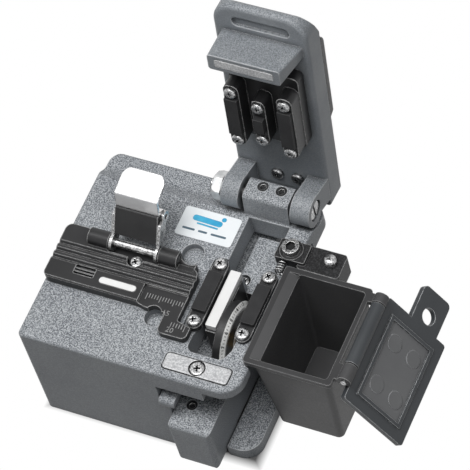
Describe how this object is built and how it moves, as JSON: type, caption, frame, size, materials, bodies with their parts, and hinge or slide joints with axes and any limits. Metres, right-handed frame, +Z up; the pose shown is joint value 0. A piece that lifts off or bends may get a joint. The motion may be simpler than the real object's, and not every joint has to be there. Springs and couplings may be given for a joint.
{
  "type": "fibre cleaver",
  "caption": "Bench tool that scores and snaps optical fibre: sliding blade carriage, hinged lid and clamp, and a side bin for offcuts",
  "frame": {"origin": "centre of the flat underside of the body, on the plane it stands on", "axes": "+Z up; +Y from the front, where the push block stands out, to the lid hinge at the back; +X to the side with the fibre bin"},
  "size_m": [0.1028, 0.0841, 0.1027],
  "materials": {
    "grey_casting": "hammertone",
    "grey_bracket": "hammertone",
    "black_parts": "satin black",
    "black_plastic": "moulded, matt",
    "slate_plastic": "moulded, satin",
    "pad_rubber": "fine matt",
    "rubber": "matt",
    "bright_steel": "polished",
    "dark_steel": "oxidised",
    "carbide": "ground",
    "brass": "turned",
    "white_parts": "white gloss"
  },
  "bodies": {
    "body": {"body_casting": "grey_casting", "rubber_sole": "rubber", "post_set_screws": "dark_steel", "hinge_bolt": "bright_steel", "hinge_washer": "bright_steel", "hinge_nut": "bright_steel", "guide_plate": "black_parts", "guide_insert": "white_parts", "guide_screw": "bright_steel", "clamp_pin": "bright_steel", "left_pad_holder": "black_parts", "right_pad_holder": "black_parts", "left_pad": "pad_rubber", "right_pad": "pad_rubber", "pad_screws": "bright_steel", "magnet_plate": "bright_steel", "magnet_screw": "bright_steel", "label_plate": "white_parts", "bin_box": "black_plastic", "bin_pin": "bright_steel", "bin_bracket": "grey_bracket", "bracket_screw": "dark_steel", "latch_stud": "bright_steel", "bracket_spring": "bright_steel"},
    "carriage": {"carriage_block": "grey_casting", "carriage_strip": "white_parts", "nose_screw": "bright_steel", "floor_screws": "bright_steel", "blade_screw": "brass"},
    "blade": {"blade_disc": "carbide", "blade_wheel": "black_parts"},
    "clamp": {"clamp_lever": "black_parts", "clamp_tab": "bright_steel", "clamp_cheeks": "bright_steel"},
    "lid": {"lid_shell": "grey_casting", "lid_strike": "bright_steel", "lid_cover": "black_parts", "lid_frame": "black_parts", "lid_left_pad": "pad_rubber", "lid_right_pad": "pad_rubber", "lid_anvil": "pad_rubber", "lid_screws": "bright_steel"},
    "bin_lid": {"bin_lid": "slate_plastic"}
  },
  "joints": [
    {"name": "carriage_slide", "type": "slide", "parent": "body", "child": "carriage", "axis": [0, 1, 0], "range_m": [0, 0.015]},
    {"name": "blade_turn", "type": "hinge", "parent": "carriage", "child": "blade", "pos_m": [0.0223, -0.011, 0.0304], "axis": [1, 0, 0], "continuous": true},
    {"name": "lid_hinge", "type": "hinge", "parent": "body", "child": "lid", "pos_m": [0.01875, 0.0254, 0.042], "axis": [1, 0, 0], "range_deg": [0, 98]},
    {"name": "clamp_hinge", "type": "hinge", "parent": "body", "child": "clamp", "pos_m": [-0.0115, 0.0007, 0.0421], "axis": [1, 0, 0], "range_deg": [0, 118.5]},
    {"name": "bin_lid_hinge", "type": "hinge", "parent": "body", "child": "bin_lid", "pos_m": [0.0573, -0.0065, 0.0398], "axis": [0, -1, 0], "range_deg": [0, 234.7]}
  ]
}
